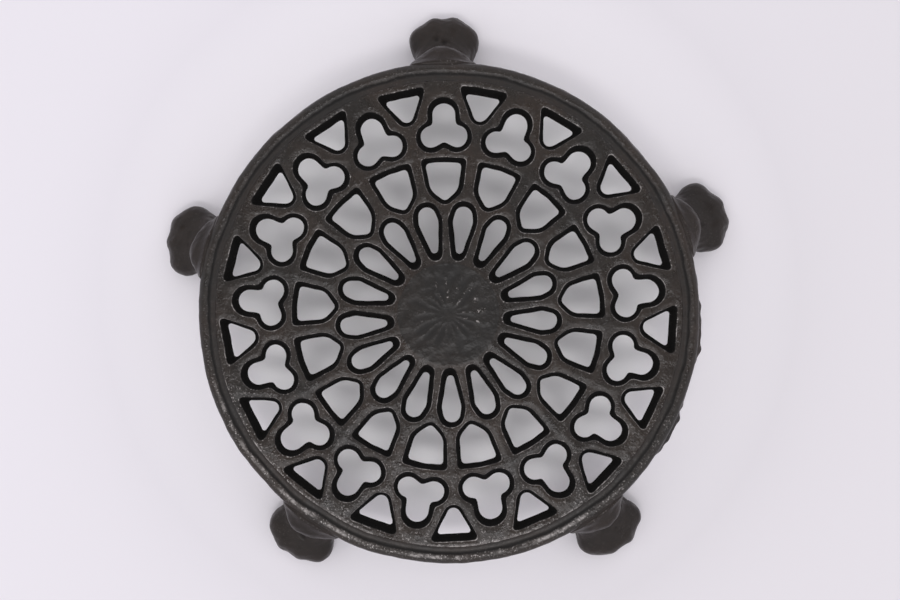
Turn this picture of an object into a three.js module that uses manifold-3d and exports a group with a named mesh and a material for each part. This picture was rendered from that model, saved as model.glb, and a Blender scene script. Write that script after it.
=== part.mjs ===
// Round cast-iron trivet: a pierced rose-window plate inside a beaded rim, on five paw feet.
// Millimetres, +Z up. The soles stand on z = 0 and the plate's top is at z = HEIGHT.
import * as THREE from 'three';
import { mergeVertices } from 'three/addons/utils/BufferGeometryUtils.js';
import Module from 'manifold-3d';

// ---------------------------------------------------------------- driving dimensions
const HEIGHT = 38;              // soles to the top of the plate
const RIM_RADIUS = 101.5;       // widest point of the rim's bead
const PLATE_THICKNESS = 5;
const RIM_DEPTH = 6.5;
const BAYS = 17;                // the pattern repeats seventeen times round the plate
const DRAFT = 1.4;              // every opening is this much wider all round at the top face
const SEAM = 0.3;               // gap left between neighbouring solids
const HUB_RADIUS = 20.5;
const WAIST_RADIUS = 64.1;      // plain band between the arches and the trefoils
const PLATE_RADIUS = 93.65;     // where the plate steps down to the rim's channel
const CHANNEL_DEPTH = 0.9;
const BEAD_RADIUS = 2.55;
const FLUTE_DEPTH = 0.5;        // of the hub's rosette
const FOOT_COUNT = 5;
const FOOT_SKEW = [0, -1.4, 0.7, -1.0, -1.2];   // degrees off an even fifth, clockwise, as cast
const ANKLE_HEIGHT = 14;        // seam between a leg and its paw

// ---------------------------------------------------------------- derived dimensions
const PLATE_BOTTOM = HEIGHT - PLATE_THICKNESS;
const RIM_BOTTOM = HEIGHT - RIM_DEPTH;
const RIM_INNER = PLATE_RADIUS + SEAM;
const BEAD_CENTRE = RIM_RADIUS - BEAD_RADIUS;
const BAY_ANGLE = 2 * Math.PI / BAYS;

// ---------------------------------------------------------------- the openings
// Every outline is drawn on the bay's own axis: x across, y outward from the plate's centre.
// `grow` offsets the whole outline outward, which makes the draft.
const PETAL = [                 // a belt drawn round these circles: x, y, radius
  [0, 40.6, 3.5],
  [0, 38.0, 4.0],
  [0, 26.4, 1.5],
  [0, 38.0, 4.0],
];
const ARCH = [
  [0, 41.5, 20.0],
  [5.6, 59.7, 1.4],
  [0, 53.3, 6.0],
  [0, 48.0, 1.9],
  [0, 53.3, 6.0],
  [-5.6, 59.7, 1.4],
];
const TRIANGLE = [
  [5.9, 88.5, 1.2],
  [0, 81.8, 3.0],
  [-5.9, 88.5, 1.2],
];
const TREFOIL = { topY: 81.0, topRadius: 4.75, lobeX: 5.2, lobeY: 71.9, lobeRadius: 4.5 };

const IRON = { plate: 0x37322f, hub: 0x3a3a3a, rim: 0x38332f, leg: 0x393632, paw: 0x373738 };

const wasm = await Module();
wasm.setup();

// ---------------------------------------------------------------- outlines

function arc(cx, cy, radius, from, to, steps) {
  const points = [];
  for (let i = 0; i <= steps; i++) {
    const angle = from + (to - from) * i / steps;
    points.push(new THREE.Vector2(cx + radius * Math.cos(angle), cy + radius * Math.sin(angle)));
  }
  return points;
}

// Direction of the straight belt that runs clockwise from one circle to the next.
function beltNormal([ax, ay, ar], [bx, by, br]) {
  const towards = Math.atan2(by - ay, bx - ax);
  const distance = Math.hypot(bx - ax, by - ay);
  return towards + Math.acos((ar - br) / distance);
}

// Convex outline round a clockwise list of circles, like a belt round pulleys.
function belt(circles, grow) {
  const points = [];
  circles.forEach((circle, i) => {
    const before = circles[(i + circles.length - 1) % circles.length];
    const after = circles[(i + 1) % circles.length];
    const from = beltNormal(before, circle);
    const sweep = THREE.MathUtils.euclideanModulo(from - beltNormal(circle, after), 2 * Math.PI);
    const steps = Math.max(1, Math.round(sweep / 0.6));
    points.push(...arc(circle[0], circle[1], circle[2] + grow, from, from - sweep, steps));
  });
  return points.reverse();
}

// One tall round-headed lobe pointing outward and two round lobes below it.
function trefoil({ topY, topRadius, lobeX, lobeY, lobeRadius }, grow) {
  const head = topRadius + grow;
  const lobe = lobeRadius + grow;
  const waistAngle = Math.acos(THREE.MathUtils.clamp((head - lobeX) / lobe, -1, 1));
  const cuspDrop = (lobe - lobeX * Math.sin(Math.PI / 6)) / Math.cos(Math.PI / 6);
  const right = arc(lobeX, lobeY, lobe, -2 * Math.PI / 3, waistAngle, 7);
  const left = right.map((point) => new THREE.Vector2(-point.x, point.y)).reverse();
  return [
    new THREE.Vector2(0, lobeY - cuspDrop),
    ...right,
    ...arc(0, topY, head, 0, Math.PI, 6),
    ...left,
  ];
}

function turned(points, angle) {
  const centre = new THREE.Vector2();
  return points.map((point) => point.clone().rotateAround(centre, angle));
}

function circle(radius, sides) {
  return arc(0, 0, radius, 0, 2 * Math.PI, sides).slice(0, sides);
}

// ---------------------------------------------------------------- solids

function geometryFrom(vertices, triangles) {
  const geometry = new THREE.BufferGeometry();
  geometry.setAttribute('position', new THREE.Float32BufferAttribute(vertices, 3));
  geometry.setIndex(triangles);
  return geometry;
}

// A flat plate between two heights. Its outer edge is `rim`, and each opening is a function
// that gives its outline for a growth, so that the walls lean with the draft.
function piercedPlate(rim, inner, openings) {
  const outlinesAt = (grow) => [rim, ...inner, ...openings.map((outline) => outline(grow))];
  const vertices = [];
  const triangles = [];
  for (const [height, grow] of [[PLATE_BOTTOM, 0], [HEIGHT, DRAFT]]) {
    const base = vertices.length / 3;
    const [contour, ...holes] = outlinesAt(grow);
    [contour, ...holes].flat().forEach((point) => vertices.push(point.x, point.y, height));
    for (const [a, b, c] of THREE.ShapeUtils.triangulateShape(contour, holes)) {
      const face = height === HEIGHT ? [a, b, c] : [a, c, b];
      triangles.push(...face.map((index) => base + index));
    }
  }
  const layer = vertices.length / 6;
  let start = 0;
  outlinesAt(0).forEach((outline, which) => {
    const count = outline.length;
    for (let i = 0; i < count; i++) {
      const near = start + i;
      const far = start + (i + 1) % count;
      const wall = [near, far, far + layer, near, far + layer, near + layer];
      triangles.push(...(which === 0 ? wall : wall.reverse()));
    }
    start += count;
  });
  return geometryFrom(vertices, triangles);
}

// Skin over a stack of rings with the same number of points, closed by a flat cap at each end.
function loft(rings) {
  const count = rings[0].length;
  const vertices = rings.flat().flatMap((point) => [point.x, point.y, point.z]);
  const triangles = [];
  for (let level = 0; level + 1 < rings.length; level++) {
    for (let i = 0; i < count; i++) {
      const near = level * count + i;
      const far = level * count + (i + 1) % count;
      triangles.push(near, far, far + count, near, far + count, near + count);
    }
  }
  const last = (rings.length - 1) * count;
  for (let i = 1; i + 1 < count; i++) {
    triangles.push(0, i + 1, i);
    triangles.push(last, last + i, last + i + 1);
  }
  return geometryFrom(vertices, triangles);
}

function toManifold(geometry) {
  const bare = geometry.clone();
  bare.deleteAttribute('normal');
  bare.deleteAttribute('uv');
  const merged = mergeVertices(bare, 1e-4);
  return new wasm.Manifold(new wasm.Mesh({
    numProp: 3,
    vertProperties: Float32Array.from(merged.attributes.position.array),
    triVerts: Uint32Array.from(merged.index.array),
  }));
}

function subtract(geometry, cutter) {
  const mesh = toManifold(geometry).subtract(toManifold(cutter)).getMesh();
  return geometryFrom(Array.from(mesh.vertProperties), Array.from(mesh.triVerts));
}

// Lathe about +Z of a closed [radius, height] outline.
function latheZ(outline, sides) {
  const points = outline.map(([radius, height]) => new THREE.Vector2(radius, height));
  const geometry = new THREE.LatheGeometry([...points, points[0].clone()], sides);
  return geometry.rotateX(Math.PI / 2);
}

// ---------------------------------------------------------------- the pieces

// Openings of one kind, one to each bay; `phase` 0 is on the bay's axis and 0.5 between bays.
function eachBay(outlineAt, phase) {
  const turns = Array.from({ length: BAYS }, (_, bay) => -(bay + phase) * BAY_ANGLE);
  return turns.map((angle) => (grow) => turned(outlineAt(grow), angle));
}

function arcadeRing() {
  const petals = eachBay((grow) => belt(PETAL, grow), 0.5);
  const arches = eachBay((grow) => belt(ARCH, grow), 0);
  const hubEdge = circle(HUB_RADIUS + SEAM, 2 * BAYS);
  return piercedPlate(circle(WAIST_RADIUS, 4 * BAYS), [hubEdge], [...petals, ...arches]);
}

function trefoilRing() {
  const trefoils = eachBay((grow) => trefoil(TREFOIL, grow), 0);
  const triangles = eachBay((grow) => belt(TRIANGLE, grow), 0.5);
  const waistEdge = circle(WAIST_RADIUS + SEAM, 4 * BAYS);
  return piercedPlate(circle(PLATE_RADIUS, 5 * BAYS), [waistEdge], [...trefoils, ...triangles]);
}

// Rings of the hub from its underside up and inward: radius, height, depth of the flutes.
const HUB_RINGS = [
  [HUB_RADIUS, PLATE_BOTTOM, 0],
  [HUB_RADIUS, HEIGHT, 0],
  [17, HEIGHT, 0],
  [12, HEIGHT, FLUTE_DEPTH],
  [8, HEIGHT, FLUTE_DEPTH],
  [5.5, HEIGHT, 0],
];

// Solid hub: a flat border, a shallow rosette of one flute to each bay, and a flat middle.
function hub() {
  return loft(HUB_RINGS.map(([radius, height, depth]) =>
    circle(radius, 2 * BAYS).map((point, i) => {
      const drop = i % 2 === 0 ? depth : 0;
      return new THREE.Vector3(point.x, point.y, height - drop);
    })));
}

// Rim section: channel beside the plate, round bead, and an outer wall that leans outward.
function rim() {
  const bead = arc(BEAD_CENTRE, HEIGHT - BEAD_RADIUS, BEAD_RADIUS, 0, 0.76 * Math.PI, 5);
  return latheZ([
    [RIM_INNER + 0.6, RIM_BOTTOM],
    [RIM_RADIUS - 0.4, RIM_BOTTOM],
    [RIM_RADIUS + 0.4, RIM_BOTTOM + 1.5],
    ...bead.map((point) => [point.x, point.y]),
    [RIM_INNER, HEIGHT - CHANNEL_DEPTH],
    [RIM_INNER, RIM_BOTTOM + 0.6],
  ], 5 * BAYS);
}

// Everything the rim fills, with the seam added, to trim the top of a leg.
function rimClearance() {
  return latheZ([
    [0, RIM_BOTTOM - SEAM],
    [RIM_RADIUS, RIM_BOTTOM - SEAM],
    [RIM_RADIUS + 0.8, RIM_BOTTOM + 1.3],
    [RIM_RADIUS + 0.4, HEIGHT - BEAD_RADIUS],
    [RIM_RADIUS - 0.3, HEIGHT - 0.8],
    [RIM_RADIUS - 1, HEIGHT + 1],
    [0, HEIGHT + 1],
  ], 5 * BAYS);
}

// Level sections of a leg: height, inner and outer distance from the centre, half-width.
const LEG_SECTIONS = [
  [ANKLE_HEIGHT, 98.6, 113.5, 10.4],
  [17.5, 98.4, 110.2, 10.0],
  [22, 97.6, 108.6, 10.2],
  [28, 96.2, 108.4, 10.8],
  [32.5, 95.0, 107.6, 11.0],
  [35, 94.5, 105.2, 10.6],
  [36.6, 94.0, 102.8, 9.6],
];

// The leg stands on the +Y side: a knee that swells out of the rim and a shank below it.
function leg() {
  const squareness = 0.75;
  const swing = (value) => Math.sign(value) * Math.abs(value) ** squareness;
  const rings = LEG_SECTIONS.map(([height, inner, outer, halfWidth]) =>
    circle(1, 16).map((point) => new THREE.Vector3(
      halfWidth * swing(point.x),
      (inner + outer) / 2 + (outer - inner) / 2 * swing(point.y),
      height,
    )));
  return subtract(loft(rings), rimClearance());
}

// The paw's plan is the outline of its pads: x, y, radius. The last one is the heel.
const PAW_PADS = [
  [-9.3, 115.8, 5.5],
  [-3.5, 119.6, 5.4],
  [3.5, 119.6, 5.4],
  [9.3, 115.8, 5.5],
  [0, 109, 11.6],
];
const PAW_CENTRE = 112;

// Level sections of a paw: height, scale of the plan, and where its centre lies.
const PAW_SECTIONS = [
  [0, 0.86, PAW_CENTRE],
  [1.5, 0.96, PAW_CENTRE],
  [4.5, 1, PAW_CENTRE],
  [8.5, 0.96, PAW_CENTRE - 0.5],
  [11.5, 0.86, PAW_CENTRE - 2],
  [ANKLE_HEIGHT - SEAM, 0.72, PAW_CENTRE - 4.5],
];

// Distance from the paw's centre to the edge of a pad in one direction, or 0 if it misses.
function padReach([x, y, radius], direction) {
  const offset = new THREE.Vector2(x, y - PAW_CENTRE);
  const along = offset.dot(direction);
  const aside = offset.lengthSq() - along * along;
  return aside < radius * radius ? along + Math.sqrt(radius * radius - aside) : 0;
}

function paw() {
  const plan = circle(1, 30).map((direction) => {
    const reach = Math.max(...PAW_PADS.map((pad) => padReach(pad, direction)));
    return direction.clone().multiplyScalar(reach);
  });
  return loft(PAW_SECTIONS.map(([height, scale, centre]) =>
    plan.map((point) => new THREE.Vector3(point.x * scale, centre + point.y * scale, height))));
}

// ---------------------------------------------------------------- assembly

const trivet = new THREE.Group();

function addPiece(name, geometry, color, parent = trivet) {
  geometry.computeVertexNormals();
  const material = new THREE.MeshStandardMaterial({ color, roughness: 0.55, metalness: 0.6 });
  const mesh = new THREE.Mesh(geometry, material);
  mesh.name = name;
  parent.add(mesh);
}

addPiece('centre_boss', hub(), IRON.hub);
addPiece('arcade_ring', arcadeRing(), IRON.plate);
addPiece('trefoil_ring', trefoilRing(), IRON.plate);
addPiece('rim', rim(), IRON.rim);

for (let index = 0; index < FOOT_COUNT; index++) {
  const foot = new THREE.Group();
  foot.rotation.z = -THREE.MathUtils.degToRad(index * 360 / FOOT_COUNT + FOOT_SKEW[index]);
  addPiece(`leg_${index + 1}`, leg(), IRON.leg, foot);
  addPiece(`paw_${index + 1}`, paw(), IRON.paw, foot);
  trivet.add(foot);
}

// The origin is the middle of the whole footprint, on the surface that the trivet stands on.
trivet.updateMatrixWorld(true);
const middle = new THREE.Box3().setFromObject(trivet, true).getCenter(new THREE.Vector3());
trivet.position.set(-middle.x, -middle.y, 0);

export default trivet;
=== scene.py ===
"""Looks of the cast-iron trivet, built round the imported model.

The whole trivet is one casting, so the pieces here share one skin: they meet at seams that do not show.
Sizes are in millimetres, measured from the middle of the plate, and become metres when a mesh is made.
"""

import math

import bmesh
import bpy
import numpy as np
from mathutils import Matrix, Vector
from mathutils.geometry import delaunay_2d_cdt
from mathutils.kdtree import KDTree


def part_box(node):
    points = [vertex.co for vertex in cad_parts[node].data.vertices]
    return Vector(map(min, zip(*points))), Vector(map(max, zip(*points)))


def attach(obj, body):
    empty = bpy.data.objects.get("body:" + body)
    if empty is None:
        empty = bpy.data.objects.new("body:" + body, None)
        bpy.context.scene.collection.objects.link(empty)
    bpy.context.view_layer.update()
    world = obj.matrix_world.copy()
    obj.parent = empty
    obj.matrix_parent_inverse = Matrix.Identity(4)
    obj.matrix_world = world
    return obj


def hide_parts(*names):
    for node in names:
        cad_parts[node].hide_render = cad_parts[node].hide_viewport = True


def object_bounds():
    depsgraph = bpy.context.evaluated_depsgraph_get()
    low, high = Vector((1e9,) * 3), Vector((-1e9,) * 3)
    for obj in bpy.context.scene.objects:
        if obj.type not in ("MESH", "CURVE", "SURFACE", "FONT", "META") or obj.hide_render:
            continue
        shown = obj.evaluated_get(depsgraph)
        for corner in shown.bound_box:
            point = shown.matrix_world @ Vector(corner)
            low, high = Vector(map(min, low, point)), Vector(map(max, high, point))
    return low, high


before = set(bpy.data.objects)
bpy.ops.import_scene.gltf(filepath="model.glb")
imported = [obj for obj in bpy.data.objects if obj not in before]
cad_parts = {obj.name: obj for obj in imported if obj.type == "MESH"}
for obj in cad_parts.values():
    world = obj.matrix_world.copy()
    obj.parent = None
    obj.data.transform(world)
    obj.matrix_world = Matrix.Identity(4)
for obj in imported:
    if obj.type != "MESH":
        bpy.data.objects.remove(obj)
CAD_LOW, CAD_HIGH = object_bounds()

# ---------------------------------------------------------------- places taken from the frame
MM = 0.001
BOSS_LOW, BOSS_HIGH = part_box("centre_boss")
PLATE_X = (BOSS_LOW.x + BOSS_HIGH.x) / 2 / MM
PLATE_Y = (BOSS_LOW.y + BOSS_HIGH.y) / 2 / MM
TOP = CAD_HIGH.z / MM
PLATE_THICKNESS = (BOSS_HIGH.z - BOSS_LOW.z) / MM
HALF_SEAM = 0.15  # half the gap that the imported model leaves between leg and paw
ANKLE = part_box("leg_1")[0].z / MM - HALF_SEAM
FEET = 5

# ---------------------------------------------------------------- the plate's pattern
BAYS = 17
HUB_SEAM = 20.65
WAIST_SEAM = 64.25
EDGE_SEAM = 93.8
HUB_SEGMENTS = 204
WAIST_SEGMENTS = 510
EDGE_SEGMENTS = 1020
POINT_SPACING = 0.8  # along the outline of an opening
ARC_STEP = 0.3  # the same round its tight corners, in radians
GRID_SPACING = 1.35  # over the flat faces
HUB_SPACING = 0.6
SEAM_CLEARANCE = 0.4  # of the grid from a seam, in spacings
OUTLINE_CLEARANCE = 0.45  # of the grid from any outline's points
SEAM_DEPTH = 0.02  # of a seam's upper edge, below the top plane

# Each opening is drawn on its bay's axis, x across and y outward, at its throat and at the top
# face. A belt runs round its circles: x, y, radius.
PETAL = {
    "phase": 0.5,
    "throat": [(0, 40.6, 3.5), (0, 38.0, 4.0), (0, 26.7, 1.5), (0, 38.0, 4.0)],
    "mouth": [(0, 40.6, 5.6), (0, 38.0, 6.15), (0, 24.9, 3.2), (0, 38.0, 6.15)],
}
ARCH = {
    "phase": 0.0,
    "throat": [
        (0, 41.5, 20.0), (5.6, 59.7, 1.4), (0, 53.3, 6.0),
        (0, 48.0, 1.9), (0, 53.3, 6.0), (-5.6, 59.7, 1.4),
    ],
    "mouth": [
        (0, 41.5, 22.05), (7.75, 61.35, 1.6), (0, 53.3, 8.05),
        (0, 48.0, 3.95), (0, 53.3, 8.05), (-7.75, 61.35, 1.6),
    ],
}
TRIANGLE = {
    "phase": 0.5,
    "throat": [(5.7, 88.2, 1.1), (0, 81.9, 2.85), (-5.7, 88.2, 1.1)],
    "mouth": [(8.2, 90.6, 1.6), (0, 81.6, 4.6), (-8.2, 90.6, 1.6)],
}
# The trefoil is a tall head and two lobes: head y, head radius, lobe x, lobe y, lobe radius.
TREFOIL = {
    "phase": 0.0,
    "throat": (81.0, 4.65, 5.2, 71.9, 4.4),
    "mouth": (81.5, 6.8, 5.3, 71.4, 6.4),
}
CUSP_ANGLE = math.radians(30)
LOBE_STEPS, SIDE_STEPS, HEAD_STEPS = 20, 3, 22
LEAD_STEPS = 4  # from the cusp to the start of a lobe

SOFTENING_PASSES = 2  # that round off an outline's corners

# How far one opening is off true, as a standard deviation: its place across and outward, its size,
# its turn in degrees, and how far its throat wanders from its mouth.
PLACE_SPREAD = [0.17, 0.12]
SIZE_SPREAD = 0.010
TURN_SPREAD = 0.9
THROAT_SPREAD = 0.10

# The wall of an opening from the top face down: how far it is from the throat (0) to the mouth (1),
# its depth below the top plane, and how worn it is, which on the lip is also a painted highlight line. The
# lip starts a little outside the mouth.
WALL = [
    (1.07, 0.31, 0.1), (1.03, 0.33, 0.6), (0.98, 0.38, 1.0), (0.935, 0.50, 0.9), (0.90, 0.68, 0.3),
    (0.87, 0.92, 0.1), (0.48, 2.7, 0.0), (0.32, 3.0, 0.05), (0.07, 3.15, 0.30),
    (0.0, 3.5, 0.1), (0.02, 4.5, 0.0), (0.10, 4.85, 0.0), (0.22, 5.0, 0.0),
]
LAST_SMOOTH_LEVEL = 5  # below this level the wall is raw casting, in a darker iron that is painted shade
WALL_SHADE = (0.2, 0.9)  # depths between which the wall darkens with painted shade, as a deep recess

# How far the top face falls from the middle of a bar toward any outline, and over what distance. A
# seam is an outline too, so the face dips a little beside it.
CROWN = 0.38
CROWN_REACH = 1.2

# Wear of the plate: beside an outline, where it is also a painted highlight along the lip, and how far
# that reaches, and over the face toward -Y, where it is rubbing and a painted sheen. Along a ring's outer
# seam it goes from the first value to the sum of both.
LIP_WEAR_AND_HIGHLIGHT = 0.3
LIP_WEAR_REACH = 0.5
FACE_WEAR_AND_SHEEN = 0.45
SEAM_WEAR_AND_SHEEN = (0.1, 0.7)

# The rim's section from the plate's edge over the channel and the bead, and back underneath:
# radius, depth below the top, wear, which on the plate's edge and the bead's crest is also a painted sheen,
# and recess, which is painted shade in the channel.
RIM = [
    (93.8, 0.02, 0.8, 0), (94.0, 0.10, 1.4, 0), (94.2, 0.28, 1.0, 0), (94.4, 0.50, 0, 0.1),
    (94.8, 0.70, 0, 0.2), (95.3, 0.80, 0, 0.1), (95.9, 0.84, 0, 0.1), (96.4, 0.86, 0, 0.7),
    (96.9, 0.76, 0, 1.0), (97.3, 0.50, 0, 0.9), (97.7, 0.25, 0.6, 0.2), (98.3, 0.05, 1.0, 0),
    (99.0, 0.00, 0.9, 0), (99.6, 0.06, 0.5, 0), (100.2, 0.25, 0.2, 0), (100.7, 0.60, 0, 0.1),
    (101.1, 1.10, 0, 0.2), (101.4, 1.80, 0, 0.1), (101.5, 2.60, 0, 0.2), (101.6, 3.60, 0, 0.2),
    (101.75, 4.50, 0.1, 0), (101.9, 4.95, 0.4, 0), (101.7, 5.50, 0.1, 0), (101.2, 6.10, 0, 0),
    (100.4, 6.45, 0, 0), (98.8, 6.50, 0, 0), (96.8, 6.50, 0, 0), (95.0, 6.48, 0, 0),
    (94.3, 6.30, 0, 0), (93.95, 5.80, 0, 0), (93.8, 5.0, 0, 0),
]
# The slope from the channel up to the bead wanders: its radius, and how far about it that reaches.
CHANNEL_SLOPE, SLOPE_REACH = 97.3, 0.6
BEAD_SWAYS = [(0.16, 12, 33), (0.08, 3.5, 34)]  # amplitude, wavelength and seed
OUTER_EDGE = 101  # beyond this radius the wear is the same all round
LEAST_SHEEN_SHARE = 0.12  # of the rim's wear, on the side away from the painted sheen
PARTING_DEPTH, PARTING_REACH = 4.95, 0.45
FLASHES = [(95.5, 7.5, 1.3), (119.0, 7.0, 1.3)]  # bearing, half-width in degrees, reach
THIN_FLASH = 0.12  # reach of the flash that comes and goes all round


# ---------------------------------------------------------------- small tools

def waves(points, wavelength, seed, count=9):
    """Smooth seeded noise with a spread of about 1: sines in many directions."""
    rng = np.random.default_rng(seed)
    total = np.zeros(len(points))
    for _ in range(count):
        direction = rng.normal(size=3)
        length = wavelength * rng.uniform(0.7, 1.5)
        direction *= 2 * np.pi / (length * np.linalg.norm(direction))
        total += np.sin(points @ direction + rng.uniform(0, 2 * np.pi))
    return total / math.sqrt(count / 2)


# Unevenness of the casting, sideways and down: amplitude, wavelength and seed of each wave.
SWAYS = [[(0.13, 26, 1), (0.045, 6, 2)], [(0.13, 26, 3), (0.045, 6, 4)]]
SINKS = [(0.10, 30, 5), (0.030, 5, 6), (0.012, 2.2, 7)]


def warped(points):
    """The points made uneven, the same wherever two pieces meet. It never lifts the surface."""
    moved = points.copy()
    for axis, waves_along in enumerate(SWAYS):
        for amplitude, wavelength, seed in waves_along:
            moved[:, axis] += amplitude * waves(points, wavelength, seed)
    for amplitude, wavelength, seed in SINKS:
        moved[:, 2] -= amplitude * (1 + np.tanh(waves(points, wavelength, seed)))
    return moved


def smoothstep(value, low, high):
    t = np.clip((value - low) / (high - low), 0, 1)
    return t * t * (3 - 2 * t)


def circle(radius, count):
    angles = np.arange(count) * 2 * np.pi / count
    return np.column_stack([radius * np.cos(angles), radius * np.sin(angles)])


def turned(points, angle):
    c, s = math.cos(angle), math.sin(angle)
    return points @ np.array([[c, s], [-s, c]])


def contains(loop, points):
    """Which points are inside a closed loop."""
    inside = np.zeros(len(points), bool)
    low, high = loop.min(0), loop.max(0)
    near = np.where(((points > low) & (points < high)).all(1))[0]
    x, y = points[near, 0][:, None], points[near, 1][:, None]
    ax, ay = loop[:, 0], loop[:, 1]
    bx, by = np.roll(ax, -1), np.roll(ay, -1)
    rise = np.where(by == ay, 1e-12, by - ay)
    crossed = ((ay > y) != (by > y)) & (x < (bx - ax) * (y - ay) / rise + ax)
    inside[near] = crossed.sum(1) % 2 == 1
    return inside


# ---------------------------------------------------------------- outlines of the openings

def between(low, high, t):
    return np.array(low) + (np.array(high) - np.array(low)) * t


def arc_points(cx, cy, radius, start, sweep, count):
    angles = start + sweep * np.arange(count) / count
    return np.column_stack([cx + radius * np.cos(angles), cy + radius * np.sin(angles)])


def belt_normal(a, b):
    towards = math.atan2(b[1] - a[1], b[0] - a[0])
    distance = math.hypot(b[0] - a[0], b[1] - a[1])
    return towards + math.acos((a[2] - b[2]) / distance)


def belt(circles, guide):
    """Outline round a clockwise list of circles. The guide circles set how many points each stretch has."""
    def stretches(ring):
        out = []
        for i, here in enumerate(ring):
            start = belt_normal(ring[i - 1], here)
            after = ring[(i + 1) % len(ring)]
            leave = belt_normal(here, after)
            sweep = (start - leave) % (2 * math.pi)
            end = (here[0] + here[2] * math.cos(leave), here[1] + here[2] * math.sin(leave))
            begin = (after[0] + after[2] * math.cos(leave), after[1] + after[2] * math.sin(leave))
            out.append((here, start, sweep, np.array(end), np.array(begin)))
        return out

    points = []
    for drawn, model in zip(stretches(circles), stretches(guide)):
        here, start, sweep, end, begin = drawn
        arc_count = max(2, round(model[2] * model[0][2] / POINT_SPACING), round(model[2] / ARC_STEP))
        line_count = max(1, round(np.linalg.norm(model[4] - model[3]) / POINT_SPACING))
        points.append(arc_points(here[0], here[1], here[2], start, -sweep, arc_count))
        steps = np.arange(line_count)[:, None] / line_count
        points.append(end + (begin - end) * steps)
    return np.vstack(points)[::-1]


def trefoil(shape):
    """Outline of a tall head over two lobes that meet in a cusp below."""
    head_y, head, lobe_x, lobe_y, lobe = shape
    top_angle = math.acos(np.clip((head - lobe_x) / lobe, -1, 1))
    start = -math.pi / 2 - CUSP_ANGLE
    drop = (lobe - lobe_x * math.sin(CUSP_ANGLE)) / math.cos(CUSP_ANGLE)
    cusp = np.array([[0, lobe_y - drop]])
    foot = np.array([lobe_x + lobe * math.cos(start), lobe_y + lobe * math.sin(start)])
    lead = cusp + (foot - cusp) * (np.arange(1, LEAD_STEPS)[:, None] / LEAD_STEPS)
    side = arc_points(lobe_x, lobe_y, lobe, start, top_angle - start, LOBE_STEPS)
    shoulder = np.array([head, lobe_y + lobe * math.sin(top_angle)])
    steps = np.arange(SIDE_STEPS)[:, None] / SIDE_STEPS
    straight = shoulder + (np.array([head, head_y]) - shoulder) * steps
    right = np.vstack([lead, side, straight])
    crown = arc_points(0, head_y, head, 0, math.pi, HEAD_STEPS)
    left = (right * [-1, 1])[::-1]
    return np.vstack([cusp, right, crown, [[-head, head_y]], left])


def softened(loop, passes):
    for _ in range(passes):
        loop = loop / 2 + (np.roll(loop, 1, 0) + np.roll(loop, -1, 0)) / 4
    return loop


def opening_levels(kind, bay, seed):
    """The loops of one opening, from the top face down, each a little off true as cast."""
    rng = np.random.default_rng(seed)
    shift = rng.normal(size=2) * PLACE_SPREAD
    grow = 1 + rng.normal() * SIZE_SPREAD
    twist = math.radians(rng.normal() * TURN_SPREAD)
    skew = rng.normal(size=2) * THROAT_SPREAD
    angle = -(bay + kind["phase"]) * 2 * math.pi / BAYS
    loops = []
    for t, _, _ in WALL:
        if kind is TREFOIL:
            outline = trefoil(between(kind["throat"], kind["mouth"], t))
        else:
            outline = belt(between(kind["throat"], kind["mouth"], t), np.array(kind["mouth"]))
        outline = softened(outline, SOFTENING_PASSES)
        middle = np.array([0, (outline[:, 1].min() + outline[:, 1].max()) / 2])
        outline = turned((outline - middle) * grow, twist) + middle + shift + skew * (1 - t)
        loops.append(turned(outline, angle))
    return loops


# ---------------------------------------------------------------- building up a piece

class Piece:
    """One closed solid in the making: vertices with a wear, which is partly painted sheen and highlight,
    and a recess, which is painted shade, and triangles.
    """

    def __init__(self, name):
        self.name = name
        self.points = np.zeros((0, 3))
        self.wear_and_sheen = np.zeros(0)
        self.recess_shade = np.zeros(0)
        self.faces = []
        self.hidden = []
        self.shaded_raw = []

    def add_points(self, points, wear_and_sheen, recess_shade):
        first = len(self.points)
        self.points = np.vstack([self.points, points])
        self.wear_and_sheen = np.append(self.wear_and_sheen, np.broadcast_to(wear_and_sheen, len(points)))
        self.recess_shade = np.append(self.recess_shade, np.broadcast_to(recess_shade, len(points)))
        return np.arange(first, first + len(points))

    def add_faces(self, faces, hidden=False, shaded_raw=False):
        self.faces.append(np.array(faces, int))
        self.hidden.append(np.full(len(faces), hidden))
        self.shaded_raw.append(np.full(len(faces), shaded_raw))

    def strip(self, upper, lower, hidden=False, outward=True, shaded_raw=False):
        """Closed band of triangles between two loops of as many points."""
        upper_next, lower_next = np.roll(upper, -1), np.roll(lower, -1)
        faces = np.vstack([
            np.column_stack([lower, lower_next, upper_next]),
            np.column_stack([lower, upper_next, upper]),
        ])
        self.add_faces(faces if outward else faces[:, ::-1], hidden, shaded_raw)

    def triangles(self):
        return np.vstack(self.faces), np.concatenate(self.hidden)


def flat(loop, depth):
    return np.column_stack([loop, np.full(len(loop), TOP - depth)])


def even_grid(reach, spacing):
    rows = np.arange(-reach, reach, spacing * math.sqrt(3) / 2)
    grid = []
    for i, y in enumerate(rows):
        x = np.arange(-reach + (i % 2) * spacing / 2, reach, spacing)
        grid.append(np.column_stack([x, np.full(len(x), y)]))
    return np.vstack(grid)


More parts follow.
